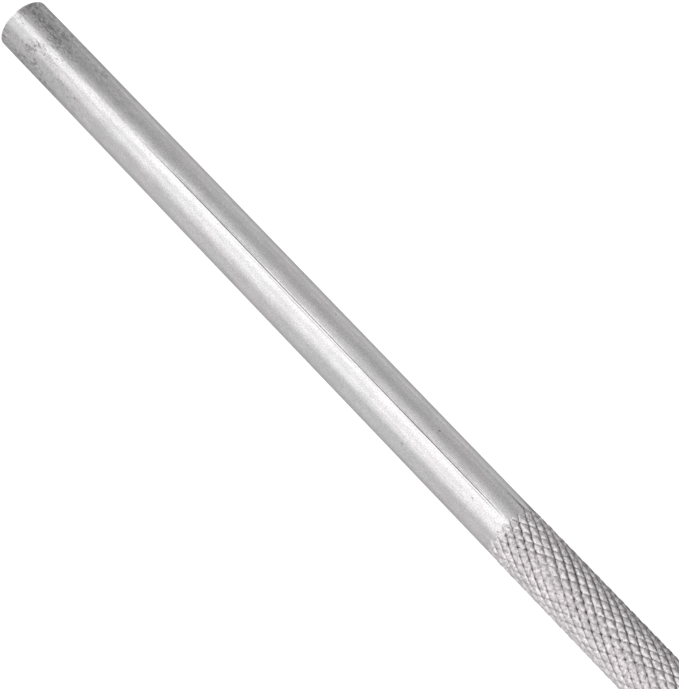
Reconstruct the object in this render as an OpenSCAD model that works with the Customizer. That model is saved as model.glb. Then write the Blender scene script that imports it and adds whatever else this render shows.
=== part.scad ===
// Double-ended round-bar brick jointer.
// A half-inch steel bar carries the large runner and a rolled diamond grip. The second,
// smaller runner is a separate bar: its turned-down spigot sits in a socket in the grip bar,
// up to a shoulder, and a spring pin holds it. Millimetres, tool axis along X, origin on the
// axis at half the overall length.

/* [Large runner] */
// Diameter of the large runner, which is also the bar stock of the grip
large_d = 12.7; // [12:0.1:16]
// Plain length of the large runner, from its free end to the knurl
large_len = 165.1; // [100:0.1:200]

/* [Grip] */
// Length of the knurled grip
grip_len = 101.6; // [60:0.1:140]
// Number of grooves around the bar in each direction
knurl_starts = 19; // [14:1:24]
// Angle between a groove and the axis of the bar, in degrees
knurl_angle = 30; // [25:1:35]
// How far the crests stand above the plain bar
crest_rise = 0.1; // [0.05:0.01:0.3]
// How far the groove bottoms lie below the plain bar
groove_depth = 0.5; // [0.2:0.05:0.7]

/* [Collar and socket] */
// Plain length of bar after the grip, where the socket is bored
collar_len = 19.05; // [17:0.05:30]
// Depth of the socket, before its drill point
socket_depth = 17; // [15:0.5:17]
// Radial clearance of the spigot in its socket
socket_play = 0.02; // [0.01:0.01:0.1]

/* [Small runner] */
// Diameter of the small runner
small_d = 9.525; // [8.5:0.005:9.6]
// Length of the small runner that stands out of the collar
small_len = 146.05; // [80:0.05:180]
// Diameter of its spigot, inside the socket
spigot_d = 7.5; // [5:0.1:7.8]
// Length of its spigot
spigot_len = 16.5; // [14:0.5:16.5]

/* [Spring pin] */
// Diameter of the slotted spring pin, fitted
pin_d = 3; // [2:0.5:3.5]
// Length of the spring pin
pin_len = 12; // [10:0.5:12]

/* [Edges] */
// Chamfer at the two working ends
end_chamfer = 0.3; // [0.1:0.1:1]
// Chamfer at the mouth of the collar, down to about the size of the small runner
collar_chamfer = 1.5; // [0.3:0.1:1.5]

/* [Hidden] */
$fn = 96;

// Places along the axis
overall_len = large_len + grip_len + collar_len + small_len;
large_end_x = -overall_len / 2;
grip_start_x = large_end_x + large_len;
grip_end_x = grip_start_x + grip_len;
collar_end_x = grip_end_x + collar_len;
small_end_x = collar_end_x + small_len;
pin_x = collar_end_x - collar_len / 2;

// Socket for the spigot, drilled with a 118 degree point
socket_r = spigot_d / 2 + socket_play;
drill_point = socket_r / tan(118 / 2);

// Spring pin: rolled strip with a slot, and the hole it is driven into
pin_hole_d = pin_d + 0.02;
pin_wall = 0.6;
pin_slot = 0.5;
pin_chamfer = 0.4;

// Knurl grid. Crests and groove crossings alternate like the squares of a chessboard on a
// grid of knurl_cols columns around the bar and rows half an axial pitch apart.
bar_r = large_d / 2;
knurl_cols = 2 * knurl_starts;
axial_pitch = PI * large_d / knurl_starts / tan(knurl_angle);
knurl_rows = 2 * round(grip_len / axial_pitch);
row_step = grip_len / knurl_rows;
// The first and last rows close just inside the plain bar, and reach a little into it
run_out_r = bar_r - 0.05;
run_out_len = 0.5;

function is_crest(row, col) = (row + col) % 2 == 0;
function knurl_r(row, col) =
    row <= 0 || row >= knurl_rows ? run_out_r
    : is_crest(row, col) ? bar_r + crest_rise
    : bar_r - groove_depth;
function knurl_x(row) =
    row < 0 ? -run_out_len
    : row > knurl_rows ? grip_len + run_out_len
    : row * row_step;

// Solid of revolution about X, from a list of [x, radius] points
module turned(profile) {
    rotate([0, 90, 0])
        rotate_extrude()
            polygon([for (p = profile) [p[1], p[0]]]);
}

// Round bar along X from x0 to x1 with a chamfer at each end
module chamfered_bar(x0, x1, r, chamfer0, chamfer1) {
    turned([
        [x0, 0],
        [x0, r - chamfer0],
        [x0 + chamfer0, r],
        [x1 - chamfer1, r],
        [x1, r - chamfer1],
        [x1, 0]
    ]);
}

// Diamond knurl as one closed mesh along X: a four-sided pyramid for each crest
module knurl() {
    first = -1;
    last = knurl_rows + 1;
    points = [
        for (row = [first:last], col = [0:knurl_cols - 1])
            let (r = knurl_r(row, col), a = col * 360 / knurl_cols)
                [knurl_x(row), r * cos(a), r * sin(a)]
    ];
    // Index of a grid point, with the columns closed into a ring
    function at(row, col) = (row - first) * knurl_cols + col % knurl_cols;
    // Each cell is split along the groove, so that no face crosses one
    function cell(row, col) =
        let (a = at(row, col), b = at(row + 1, col), c = at(row + 1, col + 1), d = at(row, col + 1))
            is_crest(row, col) ? [[a, b, d], [b, c, d]] : [[a, b, c], [a, c, d]];
    sides = [
        for (row = [first:last - 1], col = [0:knurl_cols - 1], face = cell(row, col)) face
    ];
    start_cap = [for (col = [0:knurl_cols - 1]) at(first, col)];
    end_cap = [for (col = [knurl_cols - 1:-1:0]) at(last, col)];
    translate([grip_start_x, 0, 0])
        polyhedron(points = points, faces = concat(sides, [start_cap, end_cap]));
}

// Hole across the collar and the small runner for the spring pin
module pin_hole() {
    translate([pin_x, 0, 0])
        cylinder(d = pin_hole_d, h = 2 * large_d, center = true);
}

module socket() {
    translate([collar_end_x - socket_depth, 0, 0])
        rotate([0, 90, 0])
            cylinder(r = socket_r, h = 2 * socket_depth);
    translate([collar_end_x - socket_depth - drill_point, 0, 0])
        rotate([0, 90, 0])
            cylinder(r1 = 0, r2 = socket_r, h = drill_point);
}

// Large runner, knurled grip and collar: one bar
module main_bar() {
    color([0.74, 0.74, 0.75])
        difference() {
            union() {
                chamfered_bar(large_end_x, grip_start_x, bar_r, end_chamfer, 0);
                knurl();
                chamfered_bar(grip_end_x, collar_end_x, bar_r, 0, collar_chamfer);
            }
            socket();
            pin_hole();
        }
}

// Small runner and its spigot: one bar, shouldered against the mouth of the collar
module small_runner() {
    color([0.72, 0.72, 0.73])
        difference() {
            union() {
                chamfered_bar(collar_end_x - spigot_len, collar_end_x, spigot_d / 2, end_chamfer, 0);
                chamfered_bar(collar_end_x, small_end_x, small_d / 2, 0, end_chamfer);
            }
            pin_hole();
        }
}

// Slotted spring pin across the collar, just under flush at both ends
module spring_pin() {
    r = pin_d / 2;
    h = pin_len / 2;
    color([0.45, 0.45, 0.47])
        translate([pin_x, 0, 0])
            difference() {
                rotate_extrude()
                    polygon([
                        [r - pin_wall, -h],
                        [r - pin_wall / 2, -h],
                        [r, -h + pin_chamfer],
                        [r, h - pin_chamfer],
                        [r - pin_wall / 2, h],
                        [r - pin_wall, h]
                    ]);
                translate([0, -pin_slot / 2, -h - 1])
                    cube([pin_d, pin_slot, pin_len + 2]);
            }
}

main_bar();
small_runner();
spring_pin();
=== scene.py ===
"""Brick jointer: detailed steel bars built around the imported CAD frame.

Everything is in metres, in the row's frame: the tool lies along X with its large runner at -X,
and the floor touches the lowest point of the tool.
"""

import math

import bmesh
import bpy
import numpy as np
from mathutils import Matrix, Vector

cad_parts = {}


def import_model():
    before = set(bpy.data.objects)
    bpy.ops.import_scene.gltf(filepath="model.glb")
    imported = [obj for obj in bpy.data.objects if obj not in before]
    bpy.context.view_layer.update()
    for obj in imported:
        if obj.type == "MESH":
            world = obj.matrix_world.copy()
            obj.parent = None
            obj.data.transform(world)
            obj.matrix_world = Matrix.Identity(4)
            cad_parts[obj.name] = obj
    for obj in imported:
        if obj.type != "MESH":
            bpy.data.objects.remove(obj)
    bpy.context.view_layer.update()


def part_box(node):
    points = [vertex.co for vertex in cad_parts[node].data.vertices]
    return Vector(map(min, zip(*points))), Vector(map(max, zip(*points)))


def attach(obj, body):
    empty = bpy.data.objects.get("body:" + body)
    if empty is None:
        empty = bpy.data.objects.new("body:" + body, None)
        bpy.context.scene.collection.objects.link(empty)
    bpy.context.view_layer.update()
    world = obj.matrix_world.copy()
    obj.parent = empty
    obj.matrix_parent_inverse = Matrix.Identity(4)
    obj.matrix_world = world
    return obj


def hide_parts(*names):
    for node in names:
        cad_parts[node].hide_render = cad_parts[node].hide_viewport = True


MM = 0.001

# Camera: viewing angle, distance and lens that give the framing of the large runner
CAM_AZIMUTH = 50.07
CAM_ELEVATION = 60.44
CAM_DISTANCE = 742.1 * MM
CAM_AIM_FROM_LARGE_END = 108.76 * MM
CAM_AIM_SIDE = 1.23 * MM
SENSOR = 36.0
LENS = 182.9
CLIPPING = (0.01, 20.0)
IMAGE_SHAPE = (679, 689)

# Light tent: brightness of the bands that run along it, at angles in degrees around X from +Y over
# the top to -Y, none above BAND_TOP
BAND_TOP = 2.0
TENT_BANDS = (
    (0, 0.76), (20, 0.76), (34, 0.64), (47, 0.66), (60, 0.76), (74, 0.96), (88, 1.08),
    (91, 1.48), (98, 1.70), (108, 1.82), (128, 1.46), (148, 1.55), (158, 1.34), (168, 1.16),
    (180, 0.98),
)
# The tent's far end tapers between these X parts of a direction. Its bands draw together there by
# TAPER_SQUEEZE towards the strip at STRIP_ANGLE, and dim to TAPER_DIM beside it. STRIP_EDGE is how
# far from the strip's middle the dimming begins and ends.
TENT_TAPER = (-0.42, -0.50)
TAPER_SQUEEZE = 1.25
TAPER_DIM = 0.84
STRIP_ANGLE = math.radians(119)
STRIP_EDGE = (math.radians(3), math.radians(10))
# Dark parts of the tent: the cosine of the angle from the middle at which the edge and the core
# begin, and the share of the light that is left in the core
OPEN_SIDE = (0.45, 0.72, 0.20)
CAMERA_HOLE = (0.90, 0.96, 0.50)
# What the camera sees past the floor
BACKDROP = 0.93

# Floor: its colour and its glow, as the camera sees it and in reflections
FLOOR_SIZE = 6.0
FLOOR_SEEN = (0.30, 0.90)
FLOOR_REFLECTED = (0.50, 0.41)
# Painted shadow that lies on the floor beyond the grip, seen only in reflections: its colour and its soft
# edges, each from outside to inside
PAINTED_SHADOW = 0.03
PAINTED_SHADOW_EDGE_Y = (2 * MM, 6 * MM)
PAINTED_SHADOW_EDGES_X = ((-64 * MM, -46 * MM), (56 * MM, 38 * MM))

# Knurl: grooves around the bar each way, and the shape of one groove. GROOVE_SHARE is the part
# of the way to a crest that the groove takes, and BETWEEN_CROSSINGS is how deep the grooves of each
# family are halfway between two crossings, as a share of the full depth: one roller bit harder than
# the other. A groove starts FIRST_BITE deep and reaches its full depth over CUT_IN, and the crests
# rise over RISE_IN. The mesh has CELL_STEPS steps to each half pitch, along the bar and around it.
STARTS = 19
KNURL_ANGLE = math.radians(30)
GROOVE_DEPTH = 0.50 * MM
FIRST_BITE = 0.40
CREST_RISE = 0.10 * MM
GROOVE_SHARE = 0.70
BETWEEN_CROSSINGS = (0.58, 0.74)
CUT_IN = 2.0 * MM
RISE_IN = 4.0 * MM
CELL_STEPS = 6
# How the grooves differ: the range of their depths, how far and over what length the depth drifts,
# how late a groove may start, and the standard deviation of the grit on the surface
GROOVE_WEIGHTS = (0.84, 1.0)
DRIFT = 0.08
DRIFT_LENGTH = 9 * MM
LATEST_START = 0.7 * MM
KNURL_GRIT = 0.018 * MM

# Plain surfaces: the longest face along the bar, and the faces around the small runner
PLAIN_STEP = 6 * MM
SMALL_COLUMNS = 192
# Lines that the drawing die left along the bar: angle around X from +Y in degrees, depth in mm
# (below 0 is a ridge), and where along the plain runner the line begins, as a share of its length
DIE_LINES = (
    (97.9, 0.026, 0.20), (99.5, -0.024, 0.20), (101.1, 0.085, 0.22), (102.6, -0.026, 0.22),
    (105.8, 0.046, 0.34), (128.0, 0.030, 0.45), (129.5, -0.030, 0.45),
)
# Other lines at random: how many, the range of their depths in mm and of where they begin
SCATTERED_LINES = 18
SCATTERED_DEPTHS = (-0.006, 0.010)
SCATTERED_STARTS = (-0.3, 0.8)
# Share of the runner's length over which a line reaches its depth
LINE_FADE = 0.15
# Radius of the ring that closes a turned piece on its axis
AXIS_GAP = 0.02 * MM
# Chamfers, and how far each edge is rounded
END_CHAMFER = 0.30 * MM
COLLAR_CHAMFER = 1.50 * MM
EDGE_ROUND = 0.12 * MM
ROUND_STEPS = 5

# Socket, spigot and spring pin, hidden where they fit each other
SPIGOT_R = 3.75 * MM
SPIGOT_LEN = 16.5 * MM
SOCKET_R = 3.77 * MM
SOCKET_DEPTH = 17.0 * MM
DRILL_POINT = SOCKET_R / math.tan(math.radians(118 / 2))
PIN_HOLE_R = 1.51 * MM
HOLE_SEGMENTS = 64
PIN_WALL = 0.6 * MM
PIN_SLOT = 0.5 * MM
PIN_CHAMFER = 0.4 * MM
PIN_STEPS = 72

# Lengths that the CAD boxes don't give
LARGE_RUNNER_LEN = 165.1 * MM
COLLAR_LEN = 19.05 * MM

# Drawn steel: its reflectance, and its roughness where it is smoothest
TONE = 0.65
SMOOTHEST = 0.10
# Reflectance of steel at a glancing angle, as a share of what a perfect mirror gives
EDGE_TINT = 0.62
# Soiled end of the large runner: where the dullness and the soil fade out, from the end, how ragged
# their borders are, and how wide the painted highlight on its rim is
DULLED = (2 * MM, 62 * MM)
SOILED = (8 * MM, 46 * MM)
RAGGED = 30 * MM
RIM_HIGHLIGHT = (0.30 * MM, 0.50 * MM)
# The side of the bar that faces the tent's bright strip, as an angle around X from +Y: the end is kept
# cleaner and lighter there, and darker away from it, as dirt with painted shade
CLEAN_LIT_SIDE = math.radians(121)
# Distance between the rings on a faced end
FACING_PITCH = 0.22 * MM
# Depth of the die lines that hold grime: where it shows fully, where it begins, and past which a
# surface is no longer a die line
LINE_GRIME = (0.055 * MM, 0.018 * MM)
DEEPEST_LINE = 0.15 * MM

# Edges sharper than this angle in degrees stay crisp
SHARP_EDGE = 38


# ---------------------------------------------------------------------------
# Node helpers
# ---------------------------------------------------------------------------


class Nodes:
    """Adds nodes to a tree and links them with short calls."""

    def __init__(self, tree):
        self.tree = tree
        tree.nodes.clear()

    def add(self, kind, **settings):
        node = self.tree.nodes.new(kind)
        for name, value in settings.items():
            setattr(node, name, value)
        return node

    def put(self, value, socket):
        """Sets a socket to a number or colour, or links another socket to it."""
        if isinstance(value, bpy.types.NodeSocket):
            self.tree.links.new(value, socket)
        elif value is not None:
            socket.default_value = value

    def math(self, operation, a, b=None, c=None, clamp=False):
        node = self.add("ShaderNodeMath", operation=operation, use_clamp=clamp)
        for value, socket in zip((a, b, c), node.inputs):
            self.put(value, socket)
        return node.outputs[0]

    def times(self, product, *factors):
        """The product of sockets and numbers."""
        for factor in factors:
            product = self.math("MULTIPLY", product, factor)
        return product

    def smooth(self, value, low, high, to_low=0.0, to_high=1.0):
        """Goes smoothly from to_low to to_high as the value goes from low to high."""
        node = self.add("ShaderNodeMapRange", interpolation_type="SMOOTHSTEP")
        for setting, socket in zip((value, low, high, to_low, to_high), node.inputs):
            self.put(setting, socket)
        return node.outputs[0]

    def noise(self, vector, scale, detail=3.0, roughness=0.5, distortion=0.0):
        node = self.add("ShaderNodeTexNoise")
        self.put(vector, node.inputs["Vector"])
        node.inputs["Scale"].default_value = scale
        node.inputs["Detail"].default_value = detail
        node.inputs["Roughness"].default_value = roughness
        node.inputs["Distortion"].default_value = distortion
        return node.outputs["Fac"]

    def dots(self, vector, scale, smallest, largest, share):
        """Round spots in a share of the cells of a scattered grid, one in each."""
        node = self.add("ShaderNodeTexVoronoi")
        self.put(vector, node.inputs["Vector"])
        node.inputs["Scale"].default_value = scale
        parts = self.add("ShaderNodeSeparateColor")
        self.put(node.outputs["Color"], parts.inputs[0])
        size = self.smooth(parts.outputs["Green"], 0, 1, smallest, largest)
        inside = self.math("SUBTRACT", size, node.outputs["Distance"])
        chosen = self.math("LESS_THAN", parts.outputs["Red"], share)
        return self.times(self.smooth(inside, 0, smallest), chosen)

    def stretched(self, vector, scale, offset=(0, 0, 0)):
        """A place scaled by its own factor along each axis, then moved."""
        node = self.add("ShaderNodeMapping")
        self.put(vector, node.inputs["Vector"])
        node.inputs["Scale"].default_value = scale
        node.inputs["Location"].default_value = offset
        return node.outputs["Vector"]

    def mix(self, share, a, b):
        node = self.add("ShaderNodeMix", data_type="RGBA")
        self.put(share, node.inputs["Factor"])
        self.put(a, node.inputs["A"])
        self.put(b, node.inputs["B"])
        return node.outputs["Result"]

    def bump(self, height, strength, distance, normal=None):
        node = self.add("ShaderNodeBump")
        self.put(height, node.inputs["Height"])
        node.inputs["Strength"].default_value = strength
        node.inputs["Distance"].default_value = distance
        self.put(normal, node.inputs["Normal"])
        return node.outputs["Normal"]

    def unlike_for_camera(self, reflected, seen):
        """One shader for reflections and light, and another for what the camera sees directly."""
        node = self.add("ShaderNodeMixShader")
        self.put(self.add("ShaderNodeLightPath").outputs["Is Camera Ray"], node.inputs[0])
        self.put(reflected.outputs[0], node.inputs[1])
        self.put(seen.outputs[0], node.inputs[2])
        return node.outputs[0]

    def split(self, vector):
        """The X, Y and Z of a vector."""
        node = self.add("ShaderNodeSeparateXYZ")
        self.put(vector, node.inputs[0])
        return tuple(node.outputs)

    def radius(self, y, z):
        """Distance from the axis of the tool."""
        return self.math("SQRT", self.math("ADD", self.times(y, y), self.times(z, z)))


def rgba(value, warmth=0.0):
    """A near-neutral grey: warmth above 0 leans to pink, below 0 to green-grey."""
    return (value * (1 + warmth), value, value * (1 + warmth * 0.3), 1.0)


def new_material(name):
    """An empty material, the helper for its nodes, and the place on the tool for its patterns."""
    material = bpy.data.materials.new(name)
    material.use_nodes = True
    n = Nodes(material.node_tree)
    return material, n, n.add("ShaderNodeTexCoord").outputs["Object"]


# ---------------------------------------------------------------------------
# Camera, light and floor
# ---------------------------------------------------------------------------


def towards_camera():
    """Direction from the tool to the camera."""
    azimuth, elevation = math.radians(CAM_AZIMUTH), math.radians(CAM_ELEVATION)
    return Vector((
        math.sin(azimuth) * math.cos(elevation),
        -math.cos(azimuth) * math.cos(elevation),
        math.sin(elevation),
    ))


def make_camera(large_end_x):
    aim = Vector((large_end_x + CAM_AIM_FROM_LARGE_END, CAM_AIM_SIDE, 0))
    towards = towards_camera()
    data = bpy.data.cameras.new("camera")
    data.sensor_fit = "VERTICAL" if IMAGE_SHAPE[1] > IMAGE_SHAPE[0] else "HORIZONTAL"
    data.sensor_width = data.sensor_height = SENSOR
    data.lens = LENS
    data.clip_start, data.clip_end = CLIPPING
    camera = bpy.data.objects.new("camera", data)
    camera.location = aim + towards * CAM_DISTANCE
    camera.rotation_euler = (-towards).to_track_quat("-Z", "Y").to_euler()
    bpy.context.scene.collection.objects.link(camera)
    bpy.context.scene.camera = camera


def band_ramp(n, share):
    """The brightness of the tent's bands, out of BAND_TOP, at a share of the half turn over the top."""
    ramp = n.add("ShaderNodeValToRGB")
    n.put(share, ramp.inputs["Fac"])
    bands = ramp.color_ramp
    bands.interpolation = "LINEAR"
    while len(bands.elements) < len(TENT_BANDS):
        bands.elements.new(0.5)
    for element, (degrees, brightness) in zip(bands.elements, TENT_BANDS):
        element.position = degrees / 180
        element.color = (brightness / BAND_TOP,) * 3 + (1,)
    return ramp.outputs["Color"]


def make_studio():
    """A soft light tent: bands of brightness that run along the tool, given by the angle around X."""
    world = bpy.data.worlds.new("studio")
    world.use_nodes = True
    bpy.context.scene.world = world
    n = Nodes(world.node_tree)
    direction = n.add("ShaderNodeTexCoord").outputs["Generated"]
    x, y, z = n.split(direction)
    angle = n.math("ARCTAN2", z, y)
    # towards the tent's far end its bands draw together and dim, apart from one narrow strip
    taper = n.smooth(x, *TENT_TAPER)
    from_strip = n.math("SUBTRACT", angle, STRIP_ANGLE)
    squeezed = n.times(from_strip, n.smooth(taper, 0, 1, 1.0, TAPER_SQUEEZE))
    share = n.math("DIVIDE", n.math("ADD", squeezed, STRIP_ANGLE), math.pi, clamp=True)
    off_strip = n.smooth(n.math("ABSOLUTE", from_strip), *STRIP_EDGE)
    level = n.smooth(n.times(taper, off_strip), 0, 1, 1.0, TAPER_DIM)
    # the tent is open and dark to the right of where the photographer stands, and has a dark
    # hole where they look in
    azimuth = math.radians(CAM_AZIMUTH)
    to_the_right = Vector((math.cos(azimuth), math.sin(azimuth), 0))
    for middle, (edge, core, left) in ((to_the_right, OPEN_SIDE), (towards_camera(), CAMERA_HOLE)):
        facing = n.add("ShaderNodeVectorMath", operation="DOT_PRODUCT")
        n.put(direction, facing.inputs[0])
        facing.inputs[1].default_value = middle
        level = n.times(level, n.smooth(facing.outputs["Value"], edge, core, 1.0, left))
    tent = n.add("ShaderNodeBackground")
    n.put(band_ramp(n, share), tent.inputs["Color"])
    n.put(n.times(level, BAND_TOP), tent.inputs["Strength"])
    plain = n.add("ShaderNodeBackground")
    plain.inputs["Color"].default_value = rgba(BACKDROP)
    out = n.add("ShaderNodeOutputWorld")
    n.put(n.unlike_for_camera(tent, plain), out.inputs["Surface"])


def glowing(n, colour, strength):
    """A matt surface that also gives off light."""
    paper, glow = n.add("ShaderNodeBsdfDiffuse"), n.add("ShaderNodeEmission")
    both = n.add("ShaderNodeAddShader")
    n.put(colour, paper.inputs["Color"])
    n.put(strength, glow.inputs["Strength"])
    n.put(paper.outputs[0], both.inputs[0])
    n.put(glow.outputs[0], both.inputs[1])
    return both


def table_material():
    """White to the camera. In reflections it is duller, with a painted shadow lying beyond the grip."""
    material, n, place = new_material("floor")
    x, y, _ = n.split(place)
    # painted shadow: a dark patch without glow on the floor beyond the grip, where the tool's shade would
    # fall
    painted_shadow = n.smooth(y, *PAINTED_SHADOW_EDGE_Y)
    for outside, inside in PAINTED_SHADOW_EDGES_X:
        painted_shadow = n.times(painted_shadow, n.smooth(x, outside, inside))
    colour, glow = FLOOR_REFLECTED
    reflected = glowing(n, n.mix(painted_shadow, rgba(colour), rgba(PAINTED_SHADOW)), n.smooth(painted_shadow, 0, 1, glow, 0.0))
    colour, glow = FLOOR_SEEN
    seen = glowing(n, rgba(colour), glow)
    out = n.add("ShaderNodeOutputMaterial")
    n.put(n.unlike_for_camera(reflected, seen), out.inputs["Surface"])
    return material


def make_floor(z):
    """A pale light table: it glows a little, so that the tool's shadow on it stays faint."""
    mesh = bpy.data.meshes.new("floor")
    half = FLOOR_SIZE / 2
    corners = [(-half, -half, z), (half, -half, z), (half, half, z), (-half, half, z)]
    mesh.from_pydata(corners, [], [(0, 1, 2, 3)])
    mesh.materials.append(table_material())
    floor = bpy.data.objects.new("floor", mesh)
    bpy.context.scene.collection.objects.link(floor)


# ---------------------------------------------------------------------------
# Materials
#
# The scale of a noise is in features per metre. Where it has three parts, the first is along the
# tool, and the offset after it only keeps two noises from looking alike.
# ---------------------------------------------------------------------------


def finish_metal(n, material, colour, roughness, normal):
    """Ends a material's nodes in bare steel."""
    steel = n.add("ShaderNodeBsdfPrincipled")
    steel.inputs["Metallic"].default_value = 1.0
    steel.inputs["Specular Tint"].default_value = rgba(EDGE_TINT)
    n.put(colour, steel.inputs["Base Color"])
    n.put(roughness, steel.inputs["Roughness"])
    n.put(normal, steel.inputs["Normal"])
    out = n.add("ShaderNodeOutputMaterial")
    n.put(steel.outputs[0], out.inputs["Surface"])
    return material


def drawn_steel(name, bar_r, dirty_end_x=None):
    """Cold-drawn bar: fine lines along X, cloudy patches, pits, grime in the die lines, turning marks
    on the faces that look along X, a painted highlight on the chamfers and, where dirty_end_x is given,
    an end dulled by mortar, handling and painted shade, with a painted highlight on its rim."""
    material, n, place = new_material(name)
    _, y, z = n.split(place)
    radius = n.radius(y, z)

    lines = n.noise(n.stretched(place, (16, 4200, 4200)), 1.0, 4.0, 0.6)
    wide_lines = n.noise(n.stretched(place, (7, 1000, 1000), (3, 5, 1)), 1.0, 3.0, 0.5)
    waves = n.noise(n.stretched(place, (60, 260, 260), (1, 2, 7)), 1.0, 3.0, 0.5)
    cloud = n.noise(n.stretched(place, (190, 430, 430), (5, 1, 2)), 1.0, 5.0, 0.6)
    tint = n.noise(n.stretched(place, (80, 240, 240), (7, 3, 4)), 1.0, 3.0, 0.5)
    grain = n.noise(place, 3600, 2.0, 0.6)
    pits = n.dots(n.stretched(place, (0.6, 1, 1), (0.3, 0.1, 0.7)), 420, 0.06, 0.13, 0.10)

    colour = n.mix(n.smooth(tint, 0.35, 0.65), rgba(TONE * 0.99, 0.055), rgba(TONE, -0.005))
    colour = n.mix(n.smooth(cloud, 0.40, 0.64, 0.0, 0.6), colour, rgba(TONE * 0.85, 0.01))
    colour = n.mix(n.smooth(wide_lines, 0.55, 0.80, 0.0, 0.22), colour, rgba(TONE * 0.75))
    colour = n.mix(n.smooth(grain, 0.42, 0.60, 0.0, 0.75), colour, rgba(TONE * 0.72, 0.02))
    rough = n.smooth(cloud, 0.35, 0.75, SMOOTHEST, SMOOTHEST + 0.06)
    if dirty_end_x is not None:
        colour, rough, pits = soiled_end(n, place, dirty_end_x, waves, colour, rough, pits)
    colour = n.mix(n.times(pits, 0.6), colour, rgba(0.14))
    rough = n.math("ADD", rough, n.times(pits, 0.3), clamp=True)

    # faced ends, and the chamfered edges around them, which get a painted highlight
    lengthwise = n.math("ABSOLUTE", n.split(n.add("ShaderNodeNewGeometry").outputs["Normal"])[0])
    faced = n.smooth(lengthwise, 0.75, 0.95)
    edge = n.times(n.smooth(lengthwise, 0.12, 0.30), n.math("SUBTRACT", 1.0, faced))
    colour = n.mix(edge, colour, rgba(0.96))
    # a die line is a cut a little below the bar's own radius, and doesn't slope as a chamfer does
    full, first = LINE_GRIME
    below = n.smooth(radius, bar_r - full, bar_r - first, 1.0, 0.0)
    line = n.times(below, n.math("GREATER_THAN", radius, bar_r - DEEPEST_LINE))
    line = n.times(line, n.smooth(lengthwise, 0.05, 0.12, 1.0, 0.0))
    colour = n.mix(n.times(line, 0.75), colour, rgba(0.05))

    relief = n.bump(waves, 0.26, 0.5 * MM)
    relief = n.bump(cloud, 0.36, 0.06 * MM, relief)
    relief = n.bump(wide_lines, 0.30, 0.05 * MM, relief)
    relief = n.bump(lines, 0.40, 0.012 * MM, relief)
    relief = n.bump(n.times(pits, -1.0), 0.4, 0.05 * MM, relief)
    # rings left by the tool that faced the ends
    rings = n.times(n.math("SINE", n.times(radius, math.tau / FACING_PITCH)), faced)
    relief = n.bump(rings, 0.5, 0.02 * MM, relief)
    rough = n.math("ADD", rough, n.times(faced, 0.10))
    return finish_metal(n, material, colour, rough, relief)


def soiled_end(n, place, end_x, waves, colour, rough, pits):
    """Dulls the end of a bar at end_x with mortar dust, grime and more pits, heavier as painted shade away
    from the lit side, and paints a highlight on its rim. Gives the new colour, roughness and pits."""
    x, y, z = n.split(place)
    from_end = n.math("SUBTRACT", x, end_x)
    reach = n.math("ADD", from_end, n.times(n.math("SUBTRACT", waves, 0.5), RAGGED))
    dulled = n.smooth(reach, *DULLED, 1.0, 0.0)
    soiled = n.smooth(reach, *SOILED, 1.0, 0.0)
    # the side that faces the bright strip, and the side opposite it, stay lighter; between them the end is
    # dulled more, with dirt and painted shade
    around = n.math("SUBTRACT", n.math("ARCTAN2", z, y), CLEAN_LIT_SIDE)
    dirt_and_shade_side = n.smooth(n.math("COSINE", n.times(around, 2.0)), -0.2, 0.9, 1.0, 0.35)

    patches = n.noise(n.stretched(place, (190, 420, 420), (6, 2, 9)), 1.0, 4.0, 0.6)
    smudges = n.noise(n.stretched(place, (520, 900, 900), (1, 9, 5)), 1.0, 5.0, 0.65)
    dull = n.mix(n.smooth(patches, 0.36, 0.64), rgba(TONE * 0.68, -0.01), rgba(TONE * 1.04, 0.03))
    dull = n.mix(n.smooth(smudges, 0.46, 0.62, 0.0, 0.7), dull, rgba(TONE * 0.62))
    colour = n.mix(n.times(dulled, dirt_and_shade_side, 0.9), colour, dull)

    # mortar dust and grime gather where two noises are both high, and cling in short streaks
    crumbs = n.noise(n.stretched(place, (1300, 2400, 2400), (2, 8, 3)), 1.0, 5.0, 0.75)
    streaks = n.noise(n.stretched(place, (900, 5200, 5200), (4, 1, 6)), 1.0, 3.0, 0.6)
    gathered = n.math("ADD", crumbs, n.times(patches, 0.9))
    gathered = n.math("ADD", gathered, n.times(soiled, dirt_and_shade_side, 0.14))
    soil = n.times(n.smooth(gathered, 0.94, 1.18), soiled, n.smooth(streaks, 0.42, 0.56, 0.20, 1.0))
    colour = n.mix(n.times(soil, 0.80), colour, rgba(0.12))
    rough = n.math("ADD", rough, n.times(soiled, dirt_and_shade_side, 0.07))
    rough = n.math("ADD", rough, n.times(soil, 0.15))

    end_pits = n.dots(n.stretched(place, (0.5, 1, 1), (0.9, 0.4, 0.2)), 900, 0.10, 0.24, 0.22)
    pits = n.math("MAXIMUM", pits, n.times(end_pits, soiled, dirt_and_shade_side))
    # painted highlight: the rim at the very end is lifted almost to white
    rim_highlight = n.smooth(from_end, *RIM_HIGHLIGHT, 0.8, 0.0)
    return n.mix(rim_highlight, colour, rgba(0.92)), rough, pits


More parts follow.
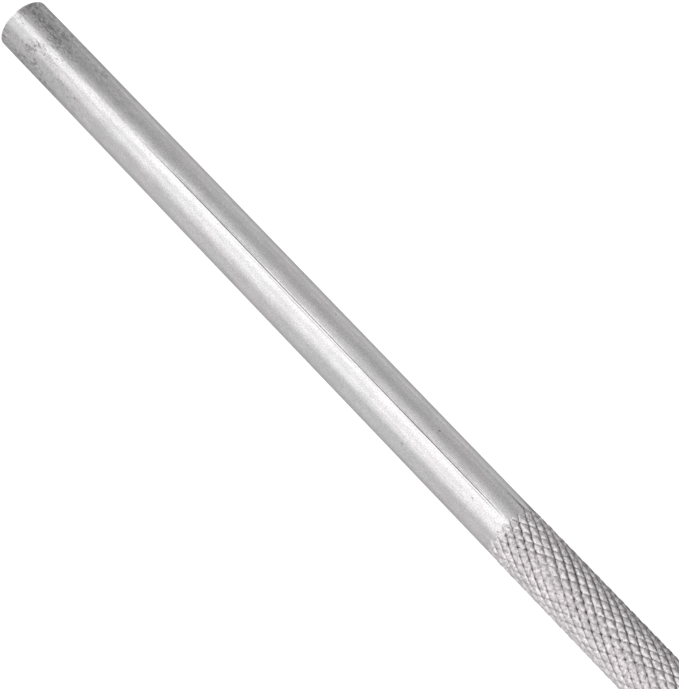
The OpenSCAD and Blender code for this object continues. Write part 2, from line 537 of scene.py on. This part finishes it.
def knurled_steel(name, crest_r):
    """Rolled knurl: matt, grainy metal, darker in the grooves with grime and painted shade, told by how far
    it lies from the axis.
    """
    material, n, place = new_material(name)
    _, y, z = n.split(place)
    radius = n.radius(y, z)
    grain = n.noise(place, 1700, 3.0, 0.7)
    fine = n.noise(place, 6200, 2.0, 0.6)
    patches = n.noise(place, 320, 3.0, 0.6)
    crest = n.mix(n.smooth(patches, 0.35, 0.65), rgba(0.74, 0.06), rgba(0.66, 0.045))
    crest = n.mix(n.smooth(grain, 0.44, 0.60, 0.0, 0.80), crest, rgba(0.42, 0.05))
    # the grooves darken towards their bottoms: grime, and painted shade where the walls hide the light
    groove_grime_and_shade = n.smooth(radius, crest_r - 0.52 * MM, crest_r - 0.32 * MM, 1.0, 0.0)
    colour = n.mix(n.times(groove_grime_and_shade, 0.85), crest, rgba(0.07, 0.02))
    # the flat tops are matt, the rolled walls shinier
    matt = n.smooth(radius, crest_r - 0.20 * MM, crest_r - 0.08 * MM, 0.0, 0.26)
    rough = n.math("ADD", n.smooth(fine, 0.3, 0.7, 0.22, 0.36), matt)
    relief = n.bump(grain, 1.0, 0.17 * MM)
    relief = n.bump(fine, 0.8, 0.05 * MM, relief)
    return finish_metal(n, material, colour, rough, relief)


def dark_steel(name):
    """Spring steel with a dark oxide skin and a few rubbed spots."""
    material, n, place = new_material(name)
    spots = n.noise(place, 900, 4.0, 0.6)
    colour = n.mix(n.smooth(spots, 0.45, 0.7), rgba(0.13), rgba(0.30))
    rough = n.smooth(spots, 0.3, 0.7, 0.40, 0.28)
    return finish_metal(n, material, colour, rough, n.bump(spots, 0.2, 0.02 * MM))


# ---------------------------------------------------------------------------
# Mesh helpers
# ---------------------------------------------------------------------------


def round_corner(corner, before, after, radius):
    """Points of an arc-like curve that rounds a profile corner between its two neighbours."""
    corner, before, after = Vector(corner), Vector(before), Vector(after)
    a = corner + (before - corner).normalized() * radius
    b = corner + (after - corner).normalized() * radius
    points = []
    for i in range(ROUND_STEPS + 1):
        t = i / ROUND_STEPS
        points.append(tuple(a * (1 - t) ** 2 + corner * 2 * t * (1 - t) + b * t ** 2))
    return points


def rounded(profile, radius):
    """A profile of (x, r) points with every inner corner rounded."""
    result = [profile[0]]
    for before, corner, after in zip(profile, profile[1:], profile[2:]):
        room = 0.45 * min(math.dist(corner, before), math.dist(corner, after))
        result += round_corner(corner, before, after, min(radius, room))
    return result + [profile[-1]]


def filled(profile, step):
    """The profile with points added so that no stretch is longer than step."""
    result = [profile[0]]
    for a, b in zip(profile, profile[1:]):
        parts = max(1, math.ceil(math.dist(a, b) / step))
        for i in range(1, parts + 1):
            result.append((a[0] + (b[0] - a[0]) * i / parts, a[1] + (b[1] - a[1]) * i / parts))
    return result


def turned_mesh(name, xs, radii, split=None):
    """Surface of revolution about X: one ring for each row of radii (rows x columns), with the
    first and last ring closed by a point on the axis. Where split is given, every cell is cut in
    two, and split says which ones along their other diagonal."""
    rows, columns = radii.shape
    angles = np.arange(columns) * 2 * math.pi / columns
    xs = np.asarray(xs)
    rings = np.stack([
        np.repeat(xs[:, None], columns, axis=1),
        radii * np.cos(angles),
        radii * np.sin(angles),
    ], axis=-1).reshape(-1, 3)
    points = np.concatenate([rings, [[xs[0], 0, 0], [xs[-1], 0, 0]]])
    row, column = np.meshgrid(np.arange(rows - 1), np.arange(columns), indexing="ij")
    after = (column + 1) % columns
    a, b = row * columns + column, row * columns + after
    c, d = (row + 1) * columns + after, (row + 1) * columns + column
    if split is None:
        faces = np.stack([a, b, c, d], axis=-1).reshape(-1, 4).tolist()
    else:
        one = np.stack([a, b, c, a, c, d], axis=-1)
        other = np.stack([a, b, d, b, c, d], axis=-1)
        faces = np.where(split[..., None], other, one).reshape(-1, 3).tolist()
    first, last = rows * columns, rows * columns + 1
    end = (rows - 1) * columns
    for k in range(columns):
        following = (k + 1) % columns
        faces.append([first, following, k])
        faces.append([last, end + k, end + following])
    mesh = bpy.data.meshes.new(name)
    mesh.from_pydata(points.tolist(), [], faces)
    mesh.update()
    return mesh


def add_piece(name, mesh, materials):
    piece = bpy.data.objects.new(name, mesh)
    bpy.context.scene.collection.objects.link(piece)
    for material in materials:
        mesh.materials.append(material)
    return piece


def drill(piece, x, radius, length):
    """Cuts a round hole along Z through a piece."""
    cutter_mesh = bpy.data.meshes.new("cutter")
    work = bmesh.new()
    bmesh.ops.create_cone(work, cap_ends=True, segments=HOLE_SEGMENTS,
                          radius1=radius, radius2=radius, depth=length)
    bmesh.ops.translate(work, verts=work.verts, vec=(x, 0, 0))
    work.to_mesh(cutter_mesh)
    work.free()
    cutter = bpy.data.objects.new("cutter", cutter_mesh)
    bpy.context.scene.collection.objects.link(cutter)
    cut = piece.modifiers.new("hole", "BOOLEAN")
    cut.operation, cut.solver, cut.object = "DIFFERENCE", "EXACT", cutter
    apply_modifiers(piece)
    bpy.data.objects.remove(cutter)
    bpy.data.meshes.remove(cutter_mesh)


def apply_modifiers(piece):
    """Puts the piece's modifiers into its mesh."""
    graph = bpy.context.evaluated_depsgraph_get()
    result = bpy.data.meshes.new_from_object(piece.evaluated_get(graph))
    old = piece.data
    piece.modifiers.clear()
    piece.data = result
    result.name = old.name
    bpy.data.meshes.remove(old)


def shade(piece, angle):
    """Smooth shading, with edges sharper than the angle kept crisp."""
    piece.data.shade_smooth()
    piece.data.set_sharp_from_angle(angle=math.radians(angle))


def hand_over(piece, node):
    """Puts a finished piece on the tool's one body, in place of its CAD node."""
    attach(piece, "root")
    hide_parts(node)


# ---------------------------------------------------------------------------
# Pieces
# ---------------------------------------------------------------------------


def axial_pitches(length, bar_r):
    """Whole diamonds along a stretch of knurl."""
    return round(length / (math.tau * bar_r / STARTS / math.tan(KNURL_ANGLE)))


def eased(share):
    """Goes smoothly from 0 to 1 as share does."""
    share = np.clip(share, 0, 1)
    return share * share * (3 - 2 * share)


def knurl_field(x, columns, bar_r, seed=7):
    """For rows at x: the knurled surface's radii, how deep the grooves cut as a share of their
    full depth, and which of the two groove families is nearest each point."""
    start_x, end_x = x[0], x[-1]
    pitch = (end_x - start_x) / axial_pitches(end_x - start_x, bar_r)
    rng = np.random.default_rng(seed)
    phase = ((x - start_x) / pitch)[:, None]
    turns = (np.arange(columns) * STARTS / columns)[None, :]
    edge = np.minimum(x - start_x, end_x - x)[:, None]
    cuts, nears = [], []
    for sign in (1, -1):
        u = phase + sign * turns
        groove = np.round(u).astype(int) % STARTS
        near = np.abs(u - np.round(u)) * 2
        weight = rng.uniform(*GROOVE_WEIGHTS, STARTS)[groove]
        drift = rng.uniform(0, math.tau, STARTS)[groove]
        weight = weight * (1 + DRIFT * np.sin((x[:, None] - start_x) / DRIFT_LENGTH + drift))
        late = rng.uniform(0, LATEST_START, STARTS)[groove]
        # the rollers run in: near the ends each groove is shallower, and so narrower
        lift = (1 - FIRST_BITE) * (1 - eased((edge - late) / CUT_IN))
        full = np.clip(1 - near / GROOVE_SHARE, 0, 1) * weight
        cuts.append(np.clip(full - lift, 0, 1))
        nears.append(near)
    bites = [
        one * (between + (1 - between) * other)
        for one, other, between in zip(cuts, cuts[::-1], BETWEEN_CROSSINGS)
    ]
    cut = np.maximum(*bites) * (edge > 0)
    risen = CREST_RISE * eased(edge / RISE_IN)
    grit = rng.normal(0, KNURL_GRIT, cut.shape) * eased(edge / CUT_IN)
    radii = bar_r + risen - (GROOVE_DEPTH + risen) * cut + grit
    return np.minimum(radii, bar_r + CREST_RISE), cut, nears[0] < nears[1]


def same_all_round(profile, columns):
    """Radii for rows of a plain surface of revolution."""
    return np.repeat(np.array([r for _, r in profile])[:, None], columns, axis=1)


def die_lines(xs, radii, plain_r, known=(), seed=3):
    """Cuts fine lines along a plain bar, where it has its full radius: the known ones, and others
    scattered around it at random."""
    columns = radii.shape[1]
    rng = np.random.default_rng(seed)
    scattered = zip(
        rng.uniform(0, 360, SCATTERED_LINES),
        rng.uniform(*SCATTERED_DEPTHS, SCATTERED_LINES),
        rng.uniform(*SCATTERED_STARTS, SCATTERED_LINES),
    )
    along = (np.asarray(xs) - xs[0]) / (xs[-1] - xs[0])
    plain = np.abs(radii[:, 0] - plain_r) < 1e-9
    for angle, depth, start in (*known, *scattered):
        column = round(angle / 360 * columns) % columns
        # no line is equally deep all along
        swell = 0.8 + 0.2 * np.sin(along * rng.uniform(6, 20) + rng.uniform(0, math.tau))
        radii[:, column] -= depth * MM * swell * eased((along - start) / LINE_FADE) * plain
    return radii


def make_main_bar(places, bar_r, materials):
    """The large runner, the knurled grip and the bored collar, as one closed surface."""
    large_end, grip_start, grip_end, collar_end = places
    columns = 2 * STARTS * CELL_STEPS
    runner = filled(rounded([
        (large_end, AXIS_GAP),
        (large_end, bar_r - END_CHAMFER),
        (large_end + END_CHAMFER, bar_r),
        (grip_start, bar_r),
    ], EDGE_ROUND), PLAIN_STEP)
    collar = filled(rounded([
        (grip_end, bar_r),
        (collar_end - COLLAR_CHAMFER, bar_r),
        (collar_end, bar_r - COLLAR_CHAMFER),
        (collar_end, SOCKET_R),
        (collar_end - SOCKET_DEPTH, SOCKET_R),
        (collar_end - SOCKET_DEPTH - DRILL_POINT, AXIS_GAP),
    ], EDGE_ROUND), PLAIN_STEP)
    half_pitches = 2 * axial_pitches(grip_end - grip_start, bar_r)
    grip_x = np.linspace(grip_start, grip_end, half_pitches * CELL_STEPS + 1)
    grip_r, cut, family = knurl_field(grip_x, columns, bar_r)

    # the grip's own first and last rows stand in for the runner's last and the collar's first
    runner, collar = runner[:-1], collar[1:]
    runner_x = [x for x, _ in runner]
    runner_r = die_lines(runner_x, same_all_round(runner, columns), bar_r, DIE_LINES)
    xs = runner_x + grip_x.tolist() + [x for x, _ in collar]
    radii = np.concatenate([runner_r, grip_r, same_all_round(collar, columns)])
    first = len(runner)
    last = first + len(grip_x) - 1
    split = np.zeros((len(xs) - 1, columns), bool)
    split[first:last] = family[:-1]
    mesh = turned_mesh("main_bar_steel", xs, radii, split)
    bar = add_piece("main_bar_steel", mesh, materials)
    # the half diamonds at the two ends of the grip keep the finish of the plain bar
    touched = np.maximum(cut[:-1], cut[1:])
    touched = np.maximum(touched, np.roll(touched, -1, axis=1)) > 0
    touched[CELL_STEPS:-CELL_STEPS] = True
    knurled = np.zeros(len(mesh.polygons), np.int32)
    knurled[first * columns * 2:last * columns * 2] = np.repeat(touched.ravel(), 2)
    mesh.polygons.foreach_set("material_index", knurled)
    return bar


def make_small_runner(collar_end, small_end, runner_r, material):
    """The smaller runner with its spigot, as one closed surface."""
    profile = filled(rounded([
        (collar_end - SPIGOT_LEN, AXIS_GAP),
        (collar_end - SPIGOT_LEN, SPIGOT_R - END_CHAMFER),
        (collar_end - SPIGOT_LEN + END_CHAMFER, SPIGOT_R),
        (collar_end, SPIGOT_R),
        (collar_end, runner_r),
        (small_end - END_CHAMFER, runner_r),
        (small_end, runner_r - END_CHAMFER),
        (small_end, AXIS_GAP),
    ], EDGE_ROUND), PLAIN_STEP)
    xs = [x for x, _ in profile]
    radii = die_lines(xs, same_all_round(profile, SMALL_COLUMNS), runner_r, seed=11)
    mesh = turned_mesh("small_runner_steel", xs, radii)
    return add_piece("small_runner_steel", mesh, [material])


def make_spring_pin(low, high, material):
    """A rolled strip: a C-shaped tube along Z, with tapered ends and a slot that faces +X."""
    x = (low.x + high.x) / 2
    radius = (high.y - low.y) / 2
    section = rounded([
        (radius - PIN_WALL, 0),
        (radius - PIN_WALL, high.z),
        (radius - PIN_WALL / 2, high.z),
        (radius, high.z - PIN_CHAMFER),
        (radius, low.z + PIN_CHAMFER),
        (radius - PIN_WALL / 2, low.z),
        (radius - PIN_WALL, low.z),
        (radius - PIN_WALL, 0),
    ], EDGE_ROUND)[:-1]
    half_slot = math.asin(PIN_SLOT / 2 / (radius - PIN_WALL / 2))
    turns = np.linspace(half_slot, math.tau - half_slot, PIN_STEPS + 1)
    count = len(section)
    points = [
        (x + r * math.cos(turn), r * math.sin(turn), z) for turn in turns for r, z in section
    ]
    faces = []
    for i in range(PIN_STEPS):
        for k in range(count):
            a, b = i * count + k, i * count + (k + 1) % count
            faces.append((a, b, b + count, a + count))
    # the two walls of the slot
    faces.append(tuple(range(count))[::-1])
    faces.append(tuple(range(PIN_STEPS * count, len(turns) * count)))
    mesh = bpy.data.meshes.new("spring_pin_steel")
    mesh.from_pydata(points, [], faces)
    work = bmesh.new()
    work.from_mesh(mesh)
    bmesh.ops.recalc_face_normals(work, faces=work.faces)
    work.to_mesh(mesh)
    work.free()
    return add_piece("spring_pin_steel", mesh, [material])


def main():
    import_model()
    bar_low, bar_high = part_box("main_bar")
    small_low, small_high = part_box("small_runner")
    pin_low, pin_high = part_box("spring_pin")
    large_end, collar_end, small_end = bar_low.x, bar_high.x, small_high.x
    bar_r = (bar_high.y - bar_low.y) / 2 - CREST_RISE
    runner_r = (small_high.y - small_low.y) / 2
    grip_start = large_end + LARGE_RUNNER_LEN
    grip_end = collar_end - COLLAR_LEN
    places = (large_end, grip_start, grip_end, collar_end)

    bpy.context.scene.view_settings.view_transform = "Standard"
    make_camera(large_end)
    make_studio()
    make_floor(bar_low.z)

    drawn = drawn_steel("drawn_steel", bar_r, dirty_end_x=large_end)
    bar = make_main_bar(places, bar_r, [drawn, knurled_steel("knurled_steel", bar_r + CREST_RISE)])
    small = make_small_runner(collar_end, small_end, runner_r, drawn_steel("small_steel", runner_r))
    pin_x = (pin_low.x + pin_high.x) / 2
    # the hole for the pin goes through both bars
    for piece in (bar, small):
        drill(piece, pin_x, PIN_HOLE_R, 4 * bar_r)
    pin = make_spring_pin(pin_low, pin_high, dark_steel("spring_steel"))
    for piece, node, slot in (
        (bar, "main_bar", "bar_steel"),
        (small, "small_runner", "runner_steel"),
        (pin, "spring_pin", "pin_steel"),
    ):
        shade(piece, SHARP_EDGE)
        hand_over(piece, node)


main()
